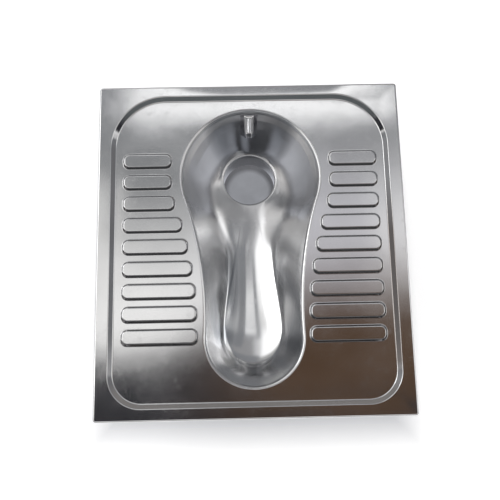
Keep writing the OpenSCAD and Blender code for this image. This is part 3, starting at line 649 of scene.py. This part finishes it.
# ---------------------------------------------------------------- materials
class Nodes:
    """Short names for building a material's or a world's nodes. Colours are (red, green, blue)."""

    def __init__(self, owner, output, coords):
        owner.use_nodes = True
        self.owner, self.tree = owner, owner.node_tree
        self.tree.nodes.clear()
        self.output = self.tree.nodes.new(output)
        self.coords = self.tree.nodes.new("ShaderNodeTexCoord").outputs[coords]

    def feed(self, socket, value):
        if hasattr(value, "is_linked"):
            self.tree.links.new(value, socket)
        else:
            socket.default_value = value

    def add(self, kind, inputs=None, **settings):
        node = self.tree.nodes.new(kind)
        for key, value in settings.items():
            setattr(node, key, value)
        for key, value in (inputs or {}).items():
            self.feed(node.inputs[key], value)
        return node

    def noise(self, scale, detail, stretch=(1, 1, 1), rough=0.5):
        mapped = self.add("ShaderNodeMapping", {"Vector": self.coords, "Scale": stretch})
        return self.add("ShaderNodeTexNoise", {"Vector": mapped.outputs["Vector"], "Scale": scale,
                                               "Detail": detail, "Roughness": rough}).outputs["Fac"]

    def split(self, vector):
        return self.add("ShaderNodeSeparateXYZ", {"Vector": vector}).outputs

    def ramp(self, value, low, high, to_low=0.0, to_high=1.0, how="LINEAR"):
        """Goes from to_low to to_high while the value goes from low to high."""
        node = self.add("ShaderNodeMapRange", {"Value": value, "From Min": low, "From Max": high,
                                               "To Min": to_low, "To Max": to_high}, interpolation_type=how)
        return node.outputs["Result"]

    def math(self, how, a, b=0.0):
        return self.add("ShaderNodeMath", {0: a, 1: b}, operation=how).outputs["Value"]

    def times(self, a, b):
        return self.math("MULTIPLY", a, b)

    def mix(self, factor, a, b):
        node = self.add("ShaderNodeMix", {"Factor": factor}, data_type="RGBA")
        for name, value in (("A", a), ("B", b)):
            target = [s for s in node.inputs if s.name == name and s.type == "RGBA"][0]
            self.feed(target, value if hasattr(value, "is_linked") else (*value, 1))
        return [s for s in node.outputs if s.type == "RGBA"][0]

    def bump(self, height, distance, normal=None):
        inputs = {"Height": height, "Strength": 1.0, "Distance": distance}
        if normal is not None:
            inputs["Normal"] = normal
        return self.add("ShaderNodeBump", inputs).outputs["Normal"]

    def material(self, colour, rough, normal, metallic=1.0):
        """Ends a material in one shader, and gives the material."""
        shader = self.add("ShaderNodeBsdfPrincipled", {"Base Color": colour, "Metallic": metallic,
                                                       "Roughness": rough, "Normal": normal})
        self.tree.links.new(shader.outputs["BSDF"], self.output.inputs["Surface"])
        return self.owner


def material_nodes(name):
    return Nodes(bpy.data.materials.new(name), "ShaderNodeOutputMaterial", "Object")


def shade(tone, factor):
    """A colour that is so many times as bright as a tone."""
    return tuple(min(1, c * factor) for c in tone)


NOISE_SPAN = (0.3, 0.7)                  # between which most of a noise's values lie
# Scale and detail of each noise in the steel
CLOUD, GRAIN, SPECKS, WAVES = (9.0, 4.0), (420.0, 2.0), (55.0, 5.0), (14.0, 2.0)
SPECKS_ROUGH = 0.7
GRAIN_H, WAVE_H = 0.0025 * MM, 0.12 * MM
PAINTED_SHADE_CAST, PAINTED_SHADE_TONE = (0.97, 1, 1.05), 0.5    # painted shade ovals, those below this tone, are a little blue
# Painted shade on the faces that lean to the front and on the right slope: its tone there, and the lean, as
# a part of the face's normal, from which it is full and at which it ends
FRONT_PAINTED_SHADE, SLOPE_PAINTED_SHADE = (0.22, 0.215, 0.22), (0.33, 0.3, 0.285)
PAINTED_SHADE_FULL, PAINTED_SHADE_NONE = -0.35, -0.08
PAINTED_SHADE_END_RUN = 8                        # mm along Y
# Places, in metres, between which the slope's painted shade comes or goes: X at its start, Y at its rear and
# front
SLOPE_START, SLOPE_REAR, SLOPE_FRONT = (0.205, 0.212), (0.02, 0.11), (-0.22, -0.19)


def steel(name, tone, roughness, grain_along, smudge=0.05, duller=None, painted_light=(), front_shade_reach=None):
    """Satin stainless: fine grain along one direction, cloudy smudges and small specks.

    duller gives two places along Y, in mm, between which the surface gets rougher, and by how much.
    Each patch is an oval, in mm, of painted light: a painted reflection where it is bright, painted shade
    where it is dark. Its entries are middle, half sizes and tone.
    The last argument is for the deck. As far from the middle along Y as it gives, in mm, the faces that lean
    to the front carry painted shade, and so does the lower part of the slope at the right."""
    n = material_nodes(name)
    cloud = n.noise(*CLOUD)
    fine = n.noise(*GRAIN, grain_along)
    specks = n.noise(*SPECKS, rough=SPECKS_ROUGH)
    colour = n.mix(n.ramp(cloud, 0.35, 0.65), shade(tone, 0.93), shade(tone, 1.04))
    rough = n.math("ADD", n.ramp(cloud, *NOISE_SPAN, roughness - smudge / 2, roughness + smudge / 2),
                   n.ramp(fine, *NOISE_SPAN, -0.03, 0.03))
    rough = n.math("ADD", rough, n.ramp(specks, 0.55, 0.75, 0.0, smudge))
    if duller:
        start, end, more = duller
        rough = n.math("ADD", rough, n.ramp(n.split(n.coords)["Y"], start * MM, end * MM, 0.0, more))
    # Ovals of painted light: painted reflections where bright, painted shade where dark
    for x, y, half_x, half_y, painted_tone in painted_light:
        offset = n.add("ShaderNodeMapping", {"Vector": n.coords, "Location": (-x / half_x, -y / half_y, 0),
                                             "Scale": (1 / (half_x * MM), 1 / (half_y * MM), 0)})
        away = n.add("ShaderNodeVectorMath", {"Vector": offset.outputs["Vector"]}, operation="LENGTH")
        cast = PAINTED_SHADE_CAST if painted_tone < PAINTED_SHADE_TONE else (1, 1, 1)
        painted_colour = tuple(painted_tone * c for c in cast)
        colour = n.mix(n.ramp(away.outputs["Value"], 0.25, 1.0, 1.0, 0.0), colour, painted_colour)
    # Painted shade: faces that lean to the front, and the lower part of the right slope, are darker
    if front_shade_reach:
        facing = n.split(n.add("ShaderNodeNewGeometry").outputs["Normal"])
        place = n.split(n.coords)
        along = n.ramp(n.math("ABSOLUTE", place["Y"]), front_shade_reach * MM, (front_shade_reach + PAINTED_SHADE_END_RUN) * MM, 1.0, 0.0)
        held = n.times(n.ramp(facing["Y"], PAINTED_SHADE_FULL, PAINTED_SHADE_NONE, 1.0, 0.0), along)
        colour = n.mix(held, colour, FRONT_PAINTED_SHADE)
        along = n.times(n.ramp(place["Y"], *SLOPE_REAR, 1.0, 0.0), n.ramp(place["Y"], *SLOPE_FRONT))
        held = n.times(n.ramp(facing["X"], PAINTED_SHADE_FULL, PAINTED_SHADE_NONE, 1.0, 0.0),
                       n.times(n.ramp(place["X"], *SLOPE_START), along))
        colour = n.mix(held, colour, SLOPE_PAINTED_SHADE)
    return n.material(colour, rough, n.bump(fine, GRAIN_H, n.bump(n.noise(*WAVES), WAVE_H)))


def rubber(name, tone):
    """Dull black, a little paler where dust lies on it."""
    n = material_nodes(name)
    dust = n.noise(60.0, 5.0)
    colour = n.mix(n.ramp(dust, 0.45, 0.75), tone, tuple(c + 0.035 for c in tone))
    rough = n.ramp(dust, *NOISE_SPAN, 0.5, 0.75)
    return n.material(colour, rough, n.bump(n.noise(900.0, 3.0), 0.04 * MM), metallic=0.0)


def zinc(name, tone, roughness):
    """Zinc coating: dull metal with a spangle of slightly different tones."""
    n = material_nodes(name)
    cells = n.add("ShaderNodeTexVoronoi", {"Vector": n.coords, "Scale": 260.0}).outputs["Color"]
    spangle = n.add("ShaderNodeSeparateColor", {"Color": cells}).outputs["Red"]
    colour = n.mix(spangle, shade(tone, 0.86), shade(tone, 1.08))
    rough = n.ramp(n.noise(70.0, 4.0), *NOISE_SPAN, roughness - 0.06, roughness + 0.1)
    return n.material(colour, rough, n.bump(n.noise(500.0, 3.0), 0.02 * MM))


# Each steel's tone, roughness, and how much its grain is squeezed along X, Y and Z
SHEET_TONE = (0.68, 0.68, 0.685)
# The deck carries painted shade on its faces that lean to the front
DECK_STEEL = steel("deck_steel", SHEET_TONE, 0.10, (1, 14, 1), front_shade_reach=190)
# Ovals of painted light in the bowl, in mm: middle x, middle y, half sizes and tone. Bright ones are painted
# reflections, dull ones painted shade
BOWL_PAINTED_LIGHT = (
    (-62.0, 150.0, 40.0, 66.0, 0.95), (68.0, 170.0, 38.0, 44.0, 0.95),     # painted highlights, beside the drain
    (-4.0, 226.0, 85.0, 62.0, 0.42),                                       # painted shade on the rear wall
    (66.0, -45.0, 26.0, 125.0, 0.88),                                      # painted reflection on the trough's right wall
    (-64.5, -105.0, 12.0, 80.0, 0.26),                                     # painted shade on the trough's left wall
    (-50.0, 212.0, 34.0, 28.0, 0.34), (58.0, 212.0, 36.0, 30.0, 0.36),     # painted shade on the rear sides
    (-36.0, -35.0, 13.0, 110.0, 0.3), (-48.0, -130.0, 17.0, 32.0, 0.4),    # painted shade along the left crease
)
BOWL_STEEL = steel("bowl_steel", SHEET_TONE, 0.15, (14, 1, 1), duller=(20.0, 100.0, 0.17),
                   painted_light=BOWL_PAINTED_LIGHT)
# The hood's steel is paler than the sheet's: a painted highlight, so that its rounded middle shows brighter
HOOD_PAINTED_BRIGHT_STEEL = steel("hood_steel_painted_bright", (0.86, 0.86, 0.87), 0.14, (1, 1, 8), smudge=0.03)
TUBE_STEEL = steel("tube_steel", (0.5, 0.5, 0.51), 0.3, (1, 1, 14))
RAIL_STEEL = steel("rail_steel", (0.52, 0.52, 0.53), 0.32, (14, 1, 1))
LEG_ZINC = zinc("leg_zinc", (0.5, 0.51, 0.52), 0.42)
BOLT_ZINC = zinc("bolt_zinc", (0.58, 0.58, 0.55), 0.3)
RUBBER = rubber("rubber_black", (0.018, 0.018, 0.019))
PAD = rubber("pad_bitumen", (0.03, 0.03, 0.032))
# A dark copy of the hood's steel for its flanks: painted shade
HOOD_FLANK_SHADE = steel("hood_flank_painted_shade", (0.2, 0.2, 0.22), 0.3, (1, 1, 8), smudge=0.03)

SLOT_OF = {s["node"]: s["material_slot"] for s in frame["record"]["subparts"]}
LOOK_OF_SLOT = {
    "stainless_deck": DECK_STEEL, "stainless_bowl": BOWL_STEEL, "stainless_hood": HOOD_PAINTED_BRIGHT_STEEL,
    "stainless_tube": TUBE_STEEL, "stainless_rail": RAIL_STEEL, "galvanised": LEG_ZINC,
    "fasteners": BOLT_ZINC, "rubber": RUBBER, "deadening": PAD,
}


def dress(thing, material):
    """Gives a material to a thing, and leaves its faces' slots as they are."""
    slots = [face.material_index for face in thing.data.polygons]
    thing.data.materials.clear()
    thing.data.materials.append(material)
    thing.data.polygons.foreach_set("material_index", slots)


def stand_for(thing, node):
    """The piece takes the place, the body and the finish of a CAD node."""
    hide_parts(node)
    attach(thing, BODY)
    dress(thing, LOOK_OF_SLOT[SLOT_OF[node]])


stand_for(deck_sheet(), "deck_plate")
stand_for(bowl_sheet(), "bowl_shell")
hood = hood_sheet()
stand_for(hood, "flush_hood")
# The flanks get the darker steel, which is painted shade
hood.data.materials.append(HOOD_FLANK_SHADE)

for node, thing in frame["nodes"].items():
    if not thing.hide_render:
        dress(thing, LOOK_OF_SLOT[SLOT_OF[node]])
        smooth(thing.data, CAD_SHARP)


# ---------------------------------------------------------------- floor, light and camera
FLOOR_SIZE = 30                             # metres
# The floor's paint beyond the pan, and the dark paint under it, which is painted shade
FLOOR_PAINT, UNDER_PAN_PAINTED_SHADE = (0.9, 0.9, 0.9), (0.15, 0.15, 0.16)
DRAIN_TINT = (0.95, 0.98, 1.06)
FLOOR_LIFT = 0.6                            # light of its own that the floor shows beyond the pan
PAN_EDGE = 0.06                             # metres on both sides of the deck's edge, from dark to white
DRAIN_PAINTED_GLOW, DRAIN_GLOW_EDGE = 0.25, 0.08        # painted light: a glow that the camera sees down the drain, painted darker at its edge
DRAIN_SEEN = (0.036, 0.045)                 # metres from the drain's middle, where it falls to the second
SIDE_PAINTED_REFLECTION, SIDE_AT = 0.95, (0.014, 0.045)   # painted reflection: light that only mirrors see, which the collar mirrors, growing towards its sides
BACK_PAINTED_REFLECTION, BACK_AT = 0.16, (0.168, 0.182)   # and towards its back, between these places along Y


def floor():
    """A floor that looks white beyond the pan, with soft shadows, and with painted shade under it, where its
    paint is dark.

    Down the drain it shows a painted glow, a dim, faintly blue patch that is painted darker at its edge."""
    bpy.ops.mesh.primitive_plane_add(size=FLOOR_SIZE)
    plane = bpy.context.object
    plane.name = "studio_floor"
    n = material_nodes("floor_paint")
    path = n.add("ShaderNodeLightPath").outputs
    mirrored = n.math("MAXIMUM", path["Is Glossy Ray"], path["Is Transmission Ray"])
    seen = n.math("MAXIMUM", path["Is Camera Ray"], mirrored)
    # 0 under the deck and 1 beyond it
    spot = n.split(n.coords)
    from_middle = n.math("ABSOLUTE", spot["X"])
    past_x = n.math("SUBTRACT", from_middle, DECK_W / 2 * MM)
    past_y = n.math("SUBTRACT", n.math("ABSOLUTE", spot["Y"]), DECK_L / 2 * MM)
    beyond = n.ramp(n.math("MAXIMUM", past_x, past_y), -PAN_EDGE, PAN_EDGE)
    lifted = n.times(seen, n.ramp(beyond, 0.0, 1.0, 0.0, FLOOR_LIFT))
    # Painted light: a glow that shows down the drain, and a painted reflection that its collar mirrors
    from_drain = n.add("ShaderNodeVectorMath", {0: n.coords, 1: (0, DRAIN_Y * MM, 0)}, operation="DISTANCE")
    drain_glow = n.ramp(from_drain.outputs["Value"], *DRAIN_SEEN, DRAIN_PAINTED_GLOW, DRAIN_GLOW_EDGE)
    drain_glow = n.times(drain_glow, n.ramp(n.noise(40.0, 2.0), *NOISE_SPAN, 0.93, 1.07))
    # Painted reflection: under the pan the floor glows for mirrored rays only
    beside = n.math("MAXIMUM", n.ramp(from_middle, *SIDE_AT, 0.0, SIDE_PAINTED_REFLECTION),
                    n.ramp(spot["Y"], *BACK_AT, 0.0, BACK_PAINTED_REFLECTION))
    under = n.math("ADD", n.times(path["Is Camera Ray"], drain_glow), n.times(mirrored, beside))
    strength = n.math("ADD", lifted, n.times(under, n.ramp(beyond, 0.0, 1.0, 1.0, 0.0)))
    # Painted shade: the floor's paint is dark under the pan
    paint = n.add("ShaderNodeBsdfDiffuse", {"Color": n.mix(beyond, UNDER_PAN_PAINTED_SHADE, FLOOR_PAINT)})
    tint = n.mix(beyond, DRAIN_TINT, (1, 1, 1))
    lift = n.add("ShaderNodeEmission", {"Color": tint, "Strength": strength})
    both = n.add("ShaderNodeAddShader", {0: paint.outputs[0], 1: lift.outputs[0]})
    n.tree.links.new(both.outputs[0], n.output.inputs["Surface"])
    dress(plane, n.owner)


floor()


STUDIO_STRENGTH = 0.88
LEAST_RISE = 0.05    # of a direction, so that its lean stays finite
DARK_ROOM, DARK_BAND, BROWN_ROOM = (0.15, 0.162, 0.168), (0.05, 0.048, 0.053), (0.132, 0.08, 0.05)
DULL_SIDE, WINDOW_LIGHT = (0.42, 0.42, 0.43), (1.8, 1.8, 1.8)


def world():
    """A soft studio, drawn over the way a direction leans off straight up. A lean of 1 is 45 degrees.

    The front, where the photographer stands, is dark, and brown towards the right. Behind it stands a pale
    wall, then a dull one with a strip of light and a panel. A wide window is at the left, pale walls at both
    sides of the dark front and beyond it, and near the horizon the room is dull."""
    n = Nodes(bpy.data.worlds.new("studio"), "ShaderNodeOutputWorld", "Generated")
    bpy.context.scene.world = n.owner
    mix, both, maths = n.mix, n.times, n.math

    def step(value, low, high, to_low=0.0, to_high=1.0):
        return n.ramp(value, low, high, to_low, to_high, "SMOOTHSTEP")

    def between(value, low, high, soft):
        return both(step(value, low - soft, low + soft), step(value, high - soft, high + soft, 1.0, 0.0))

    x, y, z = n.split(n.coords)
    up = maths("MAXIMUM", z, LEAST_RISE)
    lean_x, lean_y = maths("DIVIDE", x, up), maths("DIVIDE", y, up)

    # The pale wall behind: brightest at the left, and duller above its lower edge
    edge = step(lean_x, -0.12, 0.12, 0.09, 0.19)
    above = maths("SUBTRACT", lean_y, edge)
    rightwards = step(lean_x, -0.12, 0.08)
    wall = mix(rightwards, (1.45, 1.44, 1.42), (0.88, 0.87, 0.92))
    wall = mix(step(lean_x, 0.17, 0.21), wall, (1.25, 1.24, 1.25))
    colour = mix(step(above, 0.04, 0.25), wall, (0.37, 0.38, 0.39))
    patch = both(between(lean_x, -0.3, -0.165, 0.012), between(lean_y, 0.16, 0.33, 0.03))
    colour = mix(patch, colour, (1.15, 1.14, 1.12))
    # The dull wall further back, and a panel on it that only the bowl mirrors: pale left, dull right
    colour = mix(step(lean_y, 0.35, 0.47), colour, (0.33, 0.34, 0.36))
    panel_start = step(lean_x, 0.2, 0.45, 0.5, 0.78)
    past_start = step(maths("SUBTRACT", lean_y, panel_start), 0.0, 0.12)
    panel = both(between(lean_x, -0.4, 0.9, 0.1), both(past_start, step(lean_y, 1.15, 1.35, 1.0, 0.0)))
    panel_tone = mix(step(lean_x, -0.2, 0.05), (0.95, 0.95, 0.96), (0.45, 0.45, 0.46))
    colour = mix(panel, colour, panel_tone)
    # Strip of light at the back
    strip = both(between(lean_x, -0.155, 0.21, 0.015), between(lean_y, 0.418, 0.486, 0.006))
    colour = mix(strip, colour, WINDOW_LIGHT)
    # Dark front, up to the pale wall's lower edge
    brown = both(rightwards, both(step(lean_y, -1.2, -0.5), step(lean_x, 0.5, 1.0, 1.0, 0.0)))
    neutral = mix(step(lean_y, -1.2, -0.5), DARK_ROOM, (0.038, 0.038, 0.045))
    dark = mix(brown, neutral, BROWN_ROOM)
    dark = mix(between(lean_y, -0.06, 0.018, 0.008), dark, DARK_BAND)
    soft = step(lean_x, -0.15, 0.1, 0.02, 0.075)
    colour = mix(step(above, maths("MULTIPLY", soft, -1.0), soft), dark, colour)
    # Window at the left, duller in its front part and beyond its reach
    window = both(between(lean_x, -1.4, -0.29, 0.06), between(lean_y, 0.0, 2.3, 0.1))
    reach = maths("SQRT", maths("ADD", both(lean_x, lean_x), both(lean_y, lean_y)))
    bright = both(step(lean_y, 0.36, 0.5), step(reach, 1.3, 1.65, 1.0, 0.0))
    colour = mix(window, colour, mix(bright, (0.6, 0.6, 0.59), WINDOW_LIGHT))
    # Right side: a dull edge, then pale
    right = both(step(lean_x, 0.25, 0.36), between(lean_y, -0.1, 0.4, 0.1))
    colour = mix(right, colour, mix(step(lean_x, 0.45, 0.6), DULL_SIDE, (1.4, 1.4, 1.4)))
    # Pale walls at both sides of the dark front
    side = both(between(maths("ABSOLUTE", lean_x), 0.5, 1.8, 0.12), between(lean_y, -0.7, 0.3, 0.1))
    side = both(side, maths("MAXIMUM", step(lean_x, -0.1, 0.1), step(lean_y, 0.0, 0.15, 1.0, 0.0)))
    colour = mix(side, colour, (1.4, 1.39, 1.37))
    # The far wall in front
    far_wall = both(step(lean_y, -0.68, -0.32, 1.0, 0.0), step(reach, 1.25, 1.5, 1.0, 0.0))
    colour = mix(far_wall, colour, (1.35, 1.33, 1.32))
    # Near the horizon: dull at the left and behind, darker at the right and in front
    horizon = mix(step(x, -0.6, 0.0), DULL_SIDE, (0.2, 0.2, 0.21))
    horizon = mix(step(y, -0.7, -0.2), DARK_ROOM, horizon)
    horizon = mix(step(y, 0.2, 0.8), horizon, (0.3, 0.285, 0.275))
    colour = mix(step(z, 0.2, 0.36, 1.0, 0.0), colour, horizon)

    background = n.add("ShaderNodeBackground", {"Color": colour, "Strength": STUDIO_STRENGTH})
    n.tree.links.new(background.outputs[0], n.output.inputs["Surface"])


world()


KEY_PLACE, KEY_TARGET, KEY_SIZE, KEY_POWER = (-2.0, 0.6, 2.4), (0, 0, 0.1), (1.6, 1.2), 14.0


def key_light():
    """A soft lamp at the left."""
    lamp = bpy.data.lights.new("key", "AREA")
    lamp.shape = "RECTANGLE"
    lamp.size, lamp.size_y = KEY_SIZE
    lamp.energy = KEY_POWER
    thing = bpy.data.objects.new("key", lamp)
    bpy.context.scene.collection.objects.link(thing)
    thing.location = KEY_PLACE
    thing.rotation_euler = (Vector(KEY_TARGET) - Vector(KEY_PLACE)).to_track_quat("-Z", "Y").to_euler()


key_light()

LENS, SENSOR_W = 54.0, 36.0
CAMERA_PLACE = (-0.0213, -0.2765, 1.3867)
CAMERA_TURNS = ((12.81, "X"), (-0.84, "Y"), (-1.15, "Z"))    # from looking straight down, in degrees


def camera():
    """Stands where the photograph was taken from: found from the deck's four corners."""
    data = bpy.data.cameras.new("camera")
    data.lens, data.sensor_width, data.sensor_fit = LENS, SENSOR_W, "HORIZONTAL"
    thing = bpy.data.objects.new("camera", data)
    bpy.context.scene.collection.objects.link(thing)
    thing.location = CAMERA_PLACE
    turned = Matrix.Identity(3)
    for angle, axis in CAMERA_TURNS:
        turned = turned @ Matrix.Rotation(math.radians(angle), 3, axis)
    thing.rotation_euler = turned.to_euler()
    bpy.context.scene.camera = thing


camera()

bpy.context.scene.view_settings.view_transform = "Standard"
